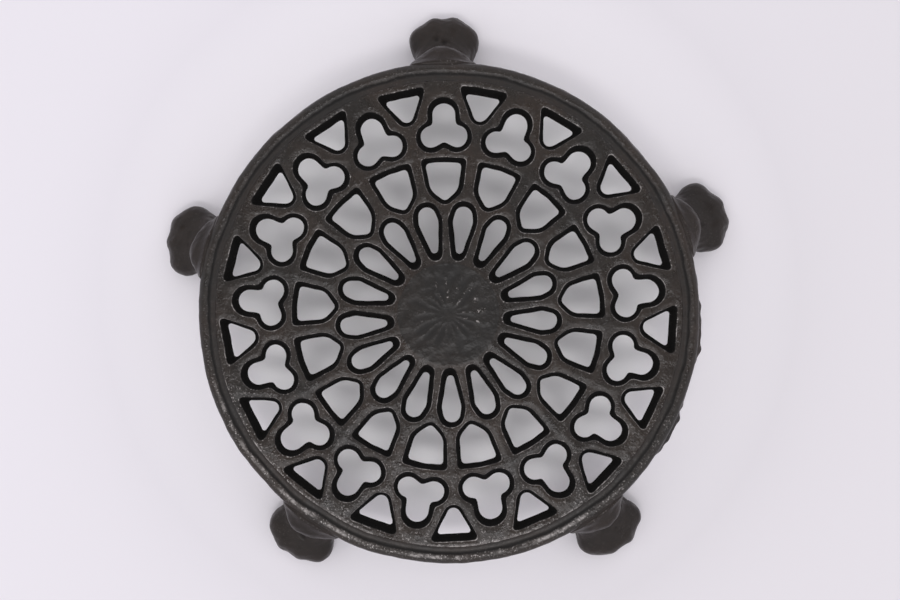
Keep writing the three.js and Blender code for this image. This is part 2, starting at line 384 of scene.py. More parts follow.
def fill_face(outer, inner, openings, spacing):
    """Triangles over the region between loops, with an even grid of new points inside it.
    Returns the new points, their distance from the nearest point of any loop, and the triangles, whose
    numbers count the points of the loops in the order outer, inner, openings, and then the new ones."""
    loops = [outer, *inner, *openings]
    border = np.vstack(loops)
    reach = np.linalg.norm(outer[0])
    grid = even_grid(reach, spacing)
    distance = np.linalg.norm(grid, axis=1)
    keep = distance < reach - spacing * SEAM_CLEARANCE
    for loop in inner:
        keep &= distance > np.linalg.norm(loop[0]) + spacing * SEAM_CLEARANCE
    grid = grid[keep]
    for loop in openings:
        grid = grid[~contains(loop, grid)]
    tree = KDTree(len(border))
    for i, point in enumerate(border):
        tree.insert((point[0], point[1], 0), i)
    tree.balance()
    gaps = np.array([tree.find((p[0], p[1], 0))[2] for p in grid])
    clear = gaps > spacing * OUTLINE_CLEARANCE
    grid, gaps = grid[clear], gaps[clear]
    edges = []
    start = 0
    for loop in loops:
        count = len(loop)
        edges += [(start + i, start + (i + 1) % count) for i in range(count)]
        start += count
    coords = np.vstack([border, grid])
    made = delaunay_2d_cdt([Vector(p) for p in coords], edges, [], 0, 1e-6, True)
    original = np.array([ids[0] if ids else -1 for ids in made[3]])
    if (original < 0).any():
        raise ValueError("two openings cross")
    faces = original[np.array(made[2])]
    corners = coords[faces]
    middle = corners.mean(1)
    side_a, side_b = corners[:, 1] - corners[:, 0], corners[:, 2] - corners[:, 0]
    area = side_a[:, 0] * side_b[:, 1] - side_a[:, 1] * side_b[:, 0]
    faces[area < 0] = faces[area < 0][:, ::-1]
    keep = contains(outer, middle) & (np.abs(area) > 1e-9)
    for loop in [*inner, *openings]:
        keep &= ~contains(loop, middle)
    return grid, gaps, faces[keep]


SHEEN_AND_RUB_FADE = (5, 100)  # how far to the -Y side the rubbing and the painted sheen start, and are at their most


def lit_and_rubbed_side(points):
    """Rubbing, and a painted sheen toward the key light: 0 on the +Y side, rising to 1 along the -Y edge.
    """
    flat_points = np.column_stack([points[:, :2], np.zeros(len(points))])
    toward = -points[:, 1] - 0.2 * points[:, 0] + 9 * waves(flat_points, 40, 11)
    return smoothstep(toward, *SHEEN_AND_RUB_FADE)


def pierced_ring(name, inner_loop, outer_loop, openings):
    """A ring of the plate between two seams, with its openings' walls."""
    piece = Piece(name)
    sides = []
    least, rise = SEAM_WEAR_AND_SHEEN
    # Along the outer seam, more toward -Y: rubbing and painted sheen.
    outer_wear_and_sheen = least + rise * lit_and_rubbed_side(outer_loop)
    for depth, level in ((SEAM_DEPTH, 0), (PLATE_THICKNESS, -1)):
        outer = piece.add_points(flat(outer_loop, depth), outer_wear_and_sheen, 0)
        inner = piece.add_points(flat(inner_loop, depth), 0, 0)
        loops = [levels[level] for levels in openings]
        wear_and_sheen = WALL[level][2]
        marks = [piece.add_points(flat(loop, WALL[level][1]), wear_and_sheen, 0) for loop in loops]
        spacing = GRID_SPACING if level == 0 else 2 * GRID_SPACING
        grid, gaps, faces = fill_face(outer_loop, [inner_loop], loops, spacing)
        points = flat(grid, depth)
        face_wear_and_sheen = 0
        if level == 0:
            points[:, 2] = TOP - CROWN * np.exp(-gaps / CROWN_REACH)
            # Beside the lips wear and a painted highlight, over the face rubbing and a painted sheen toward
            # -Y.
            face_wear_and_sheen = np.exp(-gaps / LIP_WEAR_REACH) * LIP_WEAR_AND_HIGHLIGHT + FACE_WEAR_AND_SHEEN * lit_and_rubbed_side(grid)
        inside = piece.add_points(points, face_wear_and_sheen, 0)
        numbers = np.concatenate([outer, inner, *marks, inside])
        faces = numbers[faces]
        piece.add_faces(faces if level == 0 else faces[:, ::-1])
        sides.append((outer, inner, marks))
    (top_outer, top_inner, top_marks), (low_outer, low_inner, low_marks) = sides
    piece.strip(top_outer, low_outer, hidden=True)
    piece.strip(top_inner, low_inner, hidden=True, outward=False)
    for levels, top, low in zip(openings, top_marks, low_marks):
        above = top
        for number in range(1, len(WALL) - 1):
            _, depth, wear_and_sheen = WALL[number]
            # Painted shade down the wall, growing between the WALL_SHADE depths.
            below = piece.add_points(flat(levels[number], depth), wear_and_sheen, smoothstep(depth, *WALL_SHADE))
            piece.strip(above, below, outward=False, shaded_raw=number > LAST_SMOOTH_LEVEL)
            above = below
        piece.strip(above, low, outward=False, shaded_raw=True)
    return piece


ROSETTE_DEPTH = 0.42
DARKEST_DEPTH = 0.4  # a hollow this deep gets the full painted shade
ROSETTE_INNER = (2.0, 6.0)  # radii over which the rosette rises from the middle
ROSETTE_OUTER = (11.5, 19)  # and over which it dies away
DISH_DEPTH, DISH_RADIUS = 0.15, 5
RIPPLE_DEPTH = 0.05
HOLLOW_SHARPNESS = 1.6  # power that narrows the hollows
CREST_SHARPNESS = 6  # and the bright crests
FAR_SIDE_SHARE = 0.12  # of the flecks, on the side away from the painted glints
FLECK_WEAR = 1.8
GLINT_BEARING = math.radians(50)  # side of the hub where the worn flecks gather as painted glints
FLECKS_INNER = (3, 7)
FLECKS_OUTER = (12, 16)


def ring_band(radius, inner, outer):
    """1 between two radii, fading to 0 inside the first and outside the second."""
    return smoothstep(radius, *inner) * (1 - smoothstep(radius, *outer))


def hub_depth(points):
    """Rosette: a ridge carries on from each bar between the petals, with hollows between, worn unevenly."""
    radius = np.linalg.norm(points, axis=1)
    bearing = np.arctan2(points[:, 0], points[:, 1])
    flat_points = np.column_stack([points, np.zeros(len(points))])
    wander = 0.05 * waves(flat_points, 14, 21)
    hollow = (0.5 - 0.5 * np.cos(BAYS * (bearing + wander))) ** HOLLOW_SHARPNESS
    band = ring_band(radius, ROSETTE_INNER, ROSETTE_OUTER)
    uneven = 0.55 + 0.55 * np.tanh(1.5 * waves(flat_points, 9, 22))
    dish = DISH_DEPTH * (1 - smoothstep(radius, 0, DISH_RADIUS))
    ripple = RIPPLE_DEPTH * (1 + np.tanh(waves(flat_points, 3.5, 23)))
    return ROSETTE_DEPTH * hollow * band * uneven + dish + ripple


def hub_wear_and_glints(points):
    """Worn bright flecks on the crests of the rosette's ridges, gathered on one side as painted glints."""
    radius = np.linalg.norm(points, axis=1)
    bearing = np.arctan2(points[:, 0], points[:, 1])
    flat_points = np.column_stack([points, np.zeros(len(points))])
    crest = (0.5 + 0.5 * np.cos(BAYS * bearing)) ** CREST_SHARPNESS
    band = ring_band(radius, FLECKS_INNER, FLECKS_OUTER)
    facing = np.clip(np.cos(bearing - GLINT_BEARING), 0, 1)
    side = FAR_SIDE_SHARE + (1 - FAR_SIDE_SHARE) * facing
    broken = smoothstep(waves(flat_points, 3.0, 24), 0.0, 0.7)
    return np.clip(FLECK_WEAR * crest * band * side * broken, 0, 1)


def hub():
    piece = Piece("centre_boss_cast")
    loop = circle(HUB_SEAM, HUB_SEGMENTS)
    rims = []
    for depth, spacing in ((SEAM_DEPTH, HUB_SPACING), (PLATE_THICKNESS, 4 * HUB_SPACING)):
        outer = piece.add_points(flat(loop, depth), 0, 0)
        grid, _, faces = fill_face(loop, [], [], spacing)
        points = flat(grid, depth)
        wear_and_sheen, recess_shade = 0, 0
        if spacing == HUB_SPACING:
            sunk = hub_depth(grid)
            points[:, 2] = TOP - sunk
            # Painted shade in the rosette's hollows, the deeper ones darker.
            recess_shade = np.clip(sunk / DARKEST_DEPTH, 0, 1) * 0.5
            wear_and_sheen = hub_wear_and_glints(grid)
        inside = piece.add_points(points, wear_and_sheen, recess_shade)
        faces = np.concatenate([outer, inside])[faces]
        piece.add_faces(faces if spacing == HUB_SPACING else faces[:, ::-1])
        rims.append(outer)
    piece.strip(rims[0], rims[1], hidden=True)
    return piece


def rim():
    """The rim is rings of its section. The bead's inner side wanders, and flash is left along the
    parting line."""
    piece = Piece("rim_cast")
    direction = circle(1, EDGE_SEGMENTS)
    bearing = np.degrees(np.arctan2(direction[:, 0], direction[:, 1])) % 360
    around = np.column_stack([direction * 98, np.zeros(EDGE_SEGMENTS)])
    flash = np.zeros(EDGE_SEGMENTS)
    for middle, half_width, reach in FLASHES:
        offset = np.abs(bearing - middle) / half_width
        flash += reach * np.clip(1 - offset ** 4, 0, 1) * (0.8 + 0.2 * waves(around, 5, 31))
    flash += THIN_FLASH * np.clip(waves(around, 9, 32), 0, 1)
    bead_shift = sum(amplitude * waves(around, length, seed) for amplitude, length, seed in BEAD_SWAYS)
    # Painted sheen: the rim's wear grows toward -Y, where the key light falls.
    share = LEAST_SHEEN_SHARE + (1 - LEAST_SHEEN_SHARE) * lit_and_rubbed_side(direction * EDGE_SEAM)
    rings = []
    for radius, depth, wear_and_sheen, recess_shade in RIM:
        reach = np.full(EDGE_SEGMENTS, radius)
        inner_slope = math.exp(-((radius - CHANNEL_SLOPE) / SLOPE_REACH) ** 2) * (depth < 2)
        reach = reach + bead_shift * inner_slope
        near_parting = math.exp(-((depth - PARTING_DEPTH) / PARTING_REACH) ** 2) * (radius > 100)
        reach = reach + flash * near_parting
        ring = flat(direction * reach[:, None], depth)
        rings.append(piece.add_points(ring, wear_and_sheen * (share if radius < OUTER_EDGE else 1), recess_shade))
    for above, below in zip(rings, rings[1:]):
        piece.strip(above, below)
    piece.strip(rings[-1], rings[0], hidden=True)
    return piece


# ---------------------------------------------------------------- feet

def smooth_min(a, b, blend):
    h = np.clip(0.5 + 0.5 * (b - a) / blend, 0, 1)
    return b + (a - b) * h - blend * h * (1 - h)


def smooth_max(a, b, blend):
    return -smooth_min(-a, -b, blend)


def ellipsoid(p, centre, radii):
    q = p - np.array(centre)
    near = np.linalg.norm(q / np.array(radii), axis=1)
    far = np.linalg.norm(q / np.array(radii) ** 2, axis=1)
    return near * (near - 1) / np.maximum(far, 1e-9)


def dimple(p, centre, radii, depth):
    """A soft hollow: how much to add to the distance near a point."""
    q = (p - np.array(centre)) / np.array(radii)
    return depth * np.exp(-(q ** 2).sum(1))


# One foot, drawn standing on the +Y side. A toe: x, y, z of its middle, and its radii.
MIDDLE_TOES = [((-2.9, 117.2, 6.6), (5.9, 7.0, 7.4)), ((4.1, 117.2, 6.6), (5.9, 7.0, 7.4))]
SIDE_TOES = [((-8.4, 114.3, 6.0), (6.5, 6.8, 6.8)), ((8.6, 114.0, 6.0), (6.4, 6.8, 6.8))]
PAW = ((0, 111.4, 6.2), (12.2, 8.8, 9.8))
# A crease over the toes: x, y, z of its middle, its radii and its depth.
CREASES = [
    ((-2.6, 113.6, 15.0), (1.6, 1.2, 3.0), 0.45),
    ((2.0, 112.6, 15.0), (1.8, 1.2, 3.0), 0.40),
]
# The shank is an upright oval bar that leans inward as it rises.
SHANK_HALF = 5.2
SHANK_WIDTH = 2.1  # how many times wider than thick
SHANK_LOW, SHANK_HIGH = 7, 33
LEAN_Y, LEAN_Z, LEAN = 102.6, 28, 0.16
# The knee is an oval tongue under the rim, whose top slopes down outward.
TONGUE_Y = 98.0
TONGUE_HALF_WIDTH, TONGUE_HALF_LENGTH = 7.4, 10.0
KNEE_LOW, KNEE_HIGH = 22, 36.0
KNEE_SLOPE, KNEE_SLOPE_Y = 0.18, 101.0
# The rim's section where the foot meets it: middle (radius, z), half sizes and rounding.
RIM_MIDDLE = (97.6, 34.75)
RIM_HALF = (3.75, 2.75)
RIM_ROUND = 1.6
# The fillet into the rim, between which radii it grows, and between which widths it dies away.
FILLET_LEAST, FILLET_GROWTH = 0.2, 5.5
FILLET_RADII = (100.2, 102.2)
FILLET_SIDES = (12.5, 15.7)
FOOT_INSIDE = 98.3  # radius that the foot stays outside of, at the rim's height
FOOT_UNDERCUT = 4  # how much further in it may reach below UNDERCUT_Z
UNDERCUT_Z = 31
FOOT_SIDE = 15.7  # nothing of the foot is further to the side
FOOT_BELOW_TOP = 0.3
# How wide each blend is: between toes, into the paw, at the ends of the shank, over the knee's top,
# its lower end and its inner side, between shank, knee and paw, and at the foot's top and sole.
MIDDLE_TOE_BLEND, SIDE_TOE_BLEND, TOES_BLEND = 3.2, 3.0, 1.6
SHANK_BLEND = 3
KNEE_TOP_BLEND, KNEE_LOW_BLEND, KNEE_INNER_BLEND = 7, 4, 2
LEG_BLEND, ANKLE_BLEND = 5, 5
FOOT_TOP_BLEND, SOLE_BLEND = 0.6, 1.2
# How far one foot differs from the next, as standard deviations.
TOE_PLACE_SPREAD, TOE_SIZE_SPREAD = [0.25, 0.2, 0.2], 0.015
TONGUE_SPREAD = 0.8
CREASE_PLACE_SPREAD = [1.2, 0.8, 0]
CREASE_SHARE = (0.4, 1.2)  # least and most of a crease's depth
# Unevenness of the tongue and of the whole foot: amplitude and wavelength.
TONGUE_WAVES = (0.3, 16)
FOOT_WAVES = (0.14, 10)
FOOT_RIPPLE = (0.035, 3)
FOOT_STEP = 0.6  # spacing of the grid that its surface is found on
FOOT_BOX = ((-17, 92, -1), (17, 127, 39))
NORMAL_REACH = 0.12  # over which the surface's slope is measured
BEND_REACH = 1.0  # and its curvature
RIDGE_BEND, RIDGE_WEAR = 0.5, 0.15  # the bend from which a ridge is worn, and at most how much
HOLLOW_BEND, HOLLOW_SHADE = 0.25, 0.6  # the same for painted shade in a hollow


def foot_toes(p, rng):
    """Distance to the four toes, each a little different in size and place."""
    def toe(centre, radii):
        middle = np.array(centre) + rng.normal(size=3) * TOE_PLACE_SPREAD
        return ellipsoid(p, middle, np.array(radii) * (1 + rng.normal() * TOE_SIZE_SPREAD))

    toes = smooth_min(*(toe(*shape) for shape in MIDDLE_TOES), MIDDLE_TOE_BLEND)
    for shape in SIDE_TOES:
        toes = smooth_min(toes, toe(*shape), SIDE_TOE_BLEND)
    return toes


def foot_leg(p, seed, rng):
    """Distance to the shank and the knee."""
    x, y, z = p.T
    lean = LEAN_Y + (LEAN_Z - z) * LEAN
    shank = np.hypot(x / SHANK_WIDTH, y - lean) - SHANK_HALF
    shank = smooth_max(shank, z - SHANK_HIGH, SHANK_BLEND)
    shank = smooth_max(shank, SHANK_LOW - z, SHANK_BLEND)
    sway = rng.normal() * TONGUE_SPREAD
    across = (x - sway) / TONGUE_HALF_WIDTH
    along = (y - TONGUE_Y) / TONGUE_HALF_LENGTH
    lumps, wavelength = TONGUE_WAVES
    tongue = (np.hypot(across, along) - 1) * TONGUE_HALF_WIDTH - lumps * waves(p, wavelength, seed + 5)
    slope = (z - KNEE_HIGH + KNEE_SLOPE * (y - KNEE_SLOPE_Y)) / math.hypot(1, KNEE_SLOPE)
    knee = smooth_max(tongue, slope, KNEE_TOP_BLEND)
    knee = smooth_max(knee, KNEE_LOW - z, KNEE_LOW_BLEND)
    knee = smooth_max(knee, lean - SHANK_HALF - y, KNEE_INNER_BLEND)
    return smooth_min(shank, knee, LEG_BLEND)


def rim_distance(across, z):
    """Distance to the rim, as a rounded box in section."""
    box_r = np.abs(across - RIM_MIDDLE[0]) - RIM_HALF[0] + RIM_ROUND
    box_z = np.abs(z - RIM_MIDDLE[1]) - RIM_HALF[1] + RIM_ROUND
    outside = np.hypot(np.maximum(box_r, 0), np.maximum(box_z, 0)) - RIM_ROUND
    return outside + np.minimum(np.maximum(box_r, box_z), 0)


def foot_distance(p, seed):
    """Signed distance to one foot. Negative is inside."""
    rng = np.random.default_rng(seed)
    x, y, z = p.T
    paw = smooth_min(ellipsoid(p, *PAW), foot_toes(p, rng), TOES_BLEND)
    foot = smooth_min(paw, foot_leg(p, seed, rng), ANKLE_BLEND)
    for centre, radii, depth in CREASES:
        middle = np.array(centre) + rng.normal(size=3) * CREASE_PLACE_SPREAD
        foot = foot + dimple(p, middle, radii, depth * rng.uniform(*CREASE_SHARE))
    for number, (amplitude, wavelength) in enumerate((FOOT_WAVES, FOOT_RIPPLE), 1):
        foot = foot + amplitude * waves(p, wavelength, seed + number)
    across = np.hypot(x, y)
    growth = smoothstep(across, *FILLET_RADII) * (1 - smoothstep(np.abs(x), *FILLET_SIDES))
    foot = smooth_min(foot, rim_distance(across, z), FILLET_LEAST + FILLET_GROWTH * growth)
    below_rim = smoothstep(UNDERCUT_Z - z, -0.2, 1.2)
    foot = np.maximum(foot, FOOT_INSIDE - across - FOOT_UNDERCUT * below_rim)
    foot = np.maximum(foot, np.abs(x) - FOOT_SIDE)
    foot = smooth_max(foot, z - TOP + FOOT_BELOW_TOP, FOOT_TOP_BLEND)
    return smooth_max(foot, -z, SOLE_BLEND)


def net_quads(inside, index):
    """A quad round each grid edge that crosses the surface."""
    quads = []
    for axis in range(3):
        u, v = (axis + 1) % 3, (axis + 2) % 3
        low = np.take(inside, range(inside.shape[axis] - 1), axis)
        high = np.take(inside, range(1, inside.shape[axis]), axis)
        for first, second, flip in ((low, high, False), (high, low, True)):
            cells = np.argwhere(first & ~second)
            cells = cells[(cells[:, u] > 0) & (cells[:, v] > 0)]
            corner = []
            for du, dv in ((0, 0), (1, 0), (1, 1), (0, 1)):
                cell = cells.copy()
                cell[:, u] -= du
                cell[:, v] -= dv
                corner.append(index[tuple(cell.T)])
            quad = np.column_stack(corner)
            quads.append(quad[:, ::-1] if flip else quad)
    return np.vstack(quads)


def surface_net(distance, low, high, step):
    """Vertices and quads on the zero of a distance function."""
    axes = [np.arange(a, b + step, step) for a, b in zip(low, high)]
    grid = np.stack(np.meshgrid(*axes, indexing="ij"), -1)
    values = distance(grid.reshape(-1, 3)).reshape(grid.shape[:3])
    inside = values < 0
    shape = tuple(n - 1 for n in inside.shape)
    count = np.zeros(shape, int)
    for dx, dy, dz in np.ndindex(2, 2, 2):
        count += inside[dx:dx + shape[0], dy:dy + shape[1], dz:dz + shape[2]]
    mixed = (count > 0) & (count < 8)
    index = np.full(shape, -1)
    index[mixed] = np.arange(mixed.sum())
    points = grid[:-1, :-1, :-1][mixed] + step / 2
    for _ in range(4):
        gradient = slopes(distance, points, step * 0.2)
        value = distance(points)
        size = np.maximum((gradient ** 2).sum(1), 0.1)
        move = gradient * (value / size)[:, None]
        points = points - np.clip(move, -step / 2, step / 2)
    return points, net_quads(inside, index)


def slopes(distance, points, reach):
    gradient = np.zeros_like(points)
    for axis in range(3):
        offset = np.zeros(3)
        offset[axis] = reach
        gradient[:, axis] = (distance(points + offset) - distance(points - offset)) / (2 * reach)
    return gradient


def curving(distance, points, reach):
    """How fast the surface curves: positive on a ridge, negative in a hollow."""
    total = -6 * distance(points)
    for axis in range(3):
        offset = np.zeros(3)
        offset[axis] = reach
        total += distance(points + offset) + distance(points - offset)
    return total / reach ** 2


# ---------------------------------------------------------------- meshes

def normalised(vectors):
    return vectors / np.maximum(np.linalg.norm(vectors, axis=1), 1e-12)[:, None]


def face_normals(points, faces):
    a, b, c = (points[faces[:, i]] for i in range(3))
    return np.cross(b - a, c - a)


def shared_normals(pieces):
    """Vertex normals of the outer skin, joined where pieces meet, so that no seam shows."""
    sums = []
    for piece in pieces:
        faces, hidden = piece.triangles()
        normals = face_normals(piece.points, faces)
        total = np.zeros_like(piece.points)
        corners = piece.points[faces]
        for i in range(3):
            u = normalised(corners[:, (i + 1) % 3] - corners[:, i])
            v = normalised(corners[:, (i + 2) % 3] - corners[:, i])
            angle = np.arccos(np.clip((u * v).sum(1), -1, 1))
            weighted = normalised(normals) * (angle * ~hidden)[:, None]
            np.add.at(total, faces[:, i], weighted)
        sums.append(total)
    everywhere = np.round(np.vstack([piece.points for piece in pieces]) * 1000).astype(np.int64)
    _, place = np.unique(everywhere, axis=0, return_inverse=True)
    place = place.ravel()
    joined = np.zeros((place.max() + 1, 3))
    np.add.at(joined, place, np.vstack(sums))
    joined = normalised(joined)[place]
    ends = np.cumsum([len(piece.points) for piece in pieces])
    return np.split(joined, ends[:-1])


def to_row_frame(points):
    return (points + [PLATE_X, PLATE_Y, 0]) * MM


def make_object(name, points, faces, hidden, normals, wear_and_sheen, recess_shade, material, shaded_raw=None):
    mesh = bpy.data.meshes.new(name)
    mesh.from_pydata(to_row_frame(points).tolist(), [], faces.tolist())
    mesh.polygons.foreach_set("use_smooth", np.ones(len(faces), bool))
    # The first attribute is wear with painted sheen and highlight, the second painted shade.
    for label, values in (("wear_and_sheen", wear_and_sheen), ("recess_shade", recess_shade)):
        attribute = mesh.attributes.new(label, "FLOAT", "POINT")
        attribute.data.foreach_set("value", values.astype(np.float32))
    flat_normals = np.repeat(normalised(face_normals(points, faces)), 3, axis=0)
    smooth_normals = normals[faces.ravel()]
    chosen = np.where(np.repeat(hidden, 3)[:, None], flat_normals, smooth_normals)
    mesh.normals_split_custom_set(chosen.tolist())
    mesh.materials.append(material)
    if shaded_raw is not None and shaded_raw.any():
        mesh.materials.append(MATERIALS["shaded_raw"])
        mesh.polygons.foreach_set("material_index", shaded_raw.astype(np.int32))
    made = bpy.data.objects.new(name, mesh)
    bpy.context.scene.collection.objects.link(made)
    return made


def settle(made, node):
    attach(made, "root")
    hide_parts(node)


def half_of_foot(points, faces, keep_above):
    """One side of the ankle's plane, closed with a flat cap. Returns points, triangles and cap marks."""
    mesh = bmesh.new()
    corners = [mesh.verts.new(p) for p in points]
    for face in faces:
        mesh.faces.new([corners[i] for i in face])
    everything = [*mesh.verts, *mesh.edges, *mesh.faces]
    bmesh.ops.bisect_plane(
        mesh, geom=everything, dist=1e-5, plane_co=(0, 0, ANKLE), plane_no=(0, 0, 1),
        clear_inner=keep_above, clear_outer=not keep_above,
    )
    open_edges = [edge for edge in mesh.edges if edge.is_boundary]
    bmesh.ops.holes_fill(mesh, edges=open_edges, sides=0)
    bmesh.ops.triangulate(mesh, faces=mesh.faces[:])
    mesh.verts.index_update()
    cut_points = np.array([vertex.co[:] for vertex in mesh.verts])
    cut_faces = np.array([[vertex.index for vertex in face.verts] for face in mesh.faces])
    mesh.free()
    cap = (np.abs(cut_points[cut_faces][:, :, 2] - ANKLE) < 1e-4).all(1)
    return cut_points, cut_faces, cap


def foot_bearing(number):
    """Direction of a foot from the middle of the plate, clockwise from +Y."""
    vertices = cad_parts[f"paw_{number}"].data.vertices
    middle = np.mean([vertex.co[:] for vertex in vertices], axis=0) / MM
    return math.atan2(middle[0] - PLATE_X, middle[1] - PLATE_Y)


def make_foot(number):
    seed = 100 * number

    def distance(p):
        return foot_distance(p, seed)

    points, quads = surface_net(distance, *FOOT_BOX, FOOT_STEP)
    triangles = np.vstack([quads[:, [0, 1, 2]], quads[:, [0, 2, 3]]])
    bearing = foot_bearing(number)
    for part, above in (("leg", True), ("paw", False)):
        half, faces, cap = half_of_foot(points, triangles, above)
        normals = normalised(slopes(distance, half, NORMAL_REACH))
        bend = curving(distance, half, BEND_REACH)
        wear_and_sheen = np.clip(bend - RIDGE_BEND, 0, RIDGE_WEAR)
        # Painted shade in the foot's hollows.
        recess_shade = np.clip(-bend - HOLLOW_BEND, 0, HOLLOW_SHADE)
        c, s = math.cos(-bearing), math.sin(-bearing)
        turn = np.array([[c, s, 0], [-s, c, 0], [0, 0, 1]])
        made = make_object(
            f"{part}_{number}_cast", half @ turn, faces, cap, normals @ turn,
            wear_and_sheen, recess_shade, MATERIALS[part],
        )
        settle(made, f"{part}_{number}")


# ---------------------------------------------------------------- materials

class Nodes:
    """Short calls for the nodes of one material."""

    def __init__(self, name):
        self.material = bpy.data.materials.new(name)
        self.material.use_nodes = True
        self.tree = self.material.node_tree
        self.shader = self.tree.nodes["Principled BSDF"]
        self.coordinates = self.tree.nodes.new("ShaderNodeTexCoord").outputs["Object"]

    def link(self, source, target):
        self.tree.links.new(source, target)

    def noise(self, scale, detail, roughness):
        node = self.tree.nodes.new("ShaderNodeTexNoise")
        node.inputs["Scale"].default_value = scale
        node.inputs["Detail"].default_value = detail
        node.inputs["Roughness"].default_value = roughness
        self.link(self.coordinates, node.inputs["Vector"])
        return node.outputs["Fac"]

    def attribute(self, name):
        node = self.tree.nodes.new("ShaderNodeAttribute")
        node.attribute_name = name
        return node.outputs["Fac"]

    def remap(self, value, low, high, to_low=0.0, to_high=1.0):
        node = self.tree.nodes.new("ShaderNodeMapRange")
        self.link(value, node.inputs["Value"])
        node.inputs["From Min"].default_value = low
        node.inputs["From Max"].default_value = high
        node.inputs["To Min"].default_value = to_low
        node.inputs["To Max"].default_value = to_high
        return node.outputs["Result"]

    def pattern(self, scale, detail, roughness, low, high, to_low=0.0, to_high=1.0):
        return self.remap(self.noise(scale, detail, roughness), low, high, to_low, to_high)

    def math(self, operation, a, b):
        node = self.tree.nodes.new("ShaderNodeMath")
        node.operation = operation
        for socket, value in zip(node.inputs, (a, b)):
            if isinstance(value, (int, float)):
                socket.default_value = value
            else:
                self.link(value, socket)
        return node.outputs[0]

    def mix(self, factor, a, b):
        node = self.tree.nodes.new("ShaderNodeMix")
        node.data_type = "RGBA"
        self.link(factor, node.inputs[0])
        for socket, value in zip((node.inputs[6], node.inputs[7]), (a, b)):
            if isinstance(value, tuple):
                socket.default_value = (*value, 1)
            else:
                self.link(value, socket)
        return node.outputs[2]

    def bump(self, height, distance, strength, below=None):
        node = self.tree.nodes.new("ShaderNodeBump")
        node.inputs["Distance"].default_value = distance
        node.inputs["Strength"].default_value = strength
        self.link(height, node.inputs["Height"])
        if below is not None:
            self.link(below, node.inputs["Normal"])
        return node.outputs["Normal"]


# A pattern of noise: its scale, detail and roughness, the noise values at its two ends, and the
# ends themselves where they are not 0 and 1.
BROWN_PATCHES = (45, 5, 0.55, 0.375, 0.595)
MOTTLE = (420, 3, 0.55, 0.35, 0.70)
SAND_TIPS_AND_SPARKLE = (1250, 2, 0.6, 0.58, 0.70)
RUBBED_AREAS = (32, 3, 0.55, 0.45, 0.70, 0.0, 0.10)
SCUFFS = (480, 4, 0.7, 0.44, 0.60)
GAPS_IN_WEAR = (95, 2, 0.55, 0.43, 0.60, 0.06, 1.0)
SPECKS = (1500, 2, 0.55, 0.735, 0.76)
SPECK_AREAS = (38, 2, 0.55, 0.55, 0.68)
SPECK = (0.25, 0.24, 0.22)
SAND = (1000, 3, 0.6)
SAND_HEIGHT = 0.0006  # in metres, as Blender takes it
LUMPS = (260, 3, 0.5)
LUMP_HEIGHT = 0.0012
GLOSS_PATCHES = (180, 4, 0.55, 0.3, 0.7)


MOTTLE_SHARE, RECESS_SHADE_SHARE = 0.4, 0.9  # how strongly each darkens the colour, the recess as painted shade
MOTTLE_DARK, RECESS_SHADE_DARK = 0.5, 0.25  # and to what share of the dark oxide
TIP_WEAR = 1.3  # how much a vertex's wear bares the tips of the sand, and its painted sheen makes them sparkle
WORN_FROM, WORN_TO = 0.5, 1.0  # wear at which an edge, worn and painted as a highlight, starts to be bright, and is
WORN_GLOSS, RECESS_DULLNESS = 0.06, 0.55  # change of roughness there


def scaled(colour, share):
    return tuple(channel * share for channel in colour)


def iron(name, dark, brown, worn, gloss, rough_range, grain=0.5):
    """Old seasoned cast iron: near-black oxide with brown patches, a sandy skin whose tips are rubbed
    bare and sparkle as painted sheen, bright worn edges that are also painted highlights, and painted
    shade in recesses."""
    n = Nodes(name)
    colour = n.mix(n.pattern(*BROWN_PATCHES), dark, brown)
    mottle = n.pattern(*MOTTLE)
    colour = n.mix(n.math("MULTIPLY", mottle, MOTTLE_SHARE), colour, scaled(dark, MOTTLE_DARK))
    # Painted shade: the recess darkens the colour in hollows and down the walls, where shade falls.
    recess_shade = n.attribute("recess_shade")
    colour = n.mix(n.math("MULTIPLY", recess_shade, RECESS_SHADE_SHARE), colour, scaled(dark, RECESS_SHADE_DARK))
    wear_and_sheen = n.attribute("wear_and_sheen")
    # Bared sand tips: worn iron, and a painted sparkle where the wear carries the sheen toward -Y.
    tips = n.pattern(*SAND_TIPS_AND_SPARKLE)
    rubbed = n.math("ADD", n.pattern(*RUBBED_AREAS), n.math("MULTIPLY", wear_and_sheen, TIP_WEAR))
    tips = n.math("MULTIPLY", tips, rubbed)
    colour = n.mix(tips, colour, worn)
    scuffs = n.math("ADD", n.math("MULTIPLY", n.pattern(*SCUFFS), 0.8), 0.2)
    broken = n.math("MULTIPLY", n.pattern(*GAPS_IN_WEAR), scuffs)
    # Bright worn edges, which along the lips and the rim's edge are also painted highlights.
    edge = n.math("MULTIPLY", n.remap(wear_and_sheen, WORN_FROM, WORN_TO), broken)
    colour = n.mix(edge, colour, worn)
    specks = n.math("MULTIPLY", n.pattern(*SPECKS), n.pattern(*SPECK_AREAS))
    colour = n.mix(specks, colour, SPECK)
    n.link(colour, n.shader.inputs["Base Color"])
    rough = n.pattern(*GLOSS_PATCHES, *rough_range)
    rough = n.math("SUBTRACT", rough, n.math("MULTIPLY", edge, WORN_GLOSS))
    rough = n.math("ADD", rough, n.math("MULTIPLY", recess_shade, RECESS_DULLNESS))
    n.link(rough, n.shader.inputs["Roughness"])
    n.shader.inputs["Metallic"].default_value = 0.0
    n.shader.inputs["IOR"].default_value = gloss
    sand = n.bump(n.noise(*SAND), SAND_HEIGHT, grain)
    lumps = n.bump(n.noise(*LUMPS), LUMP_HEIGHT, grain, sand)
    n.link(lumps, n.shader.inputs["Normal"])
    return n.material


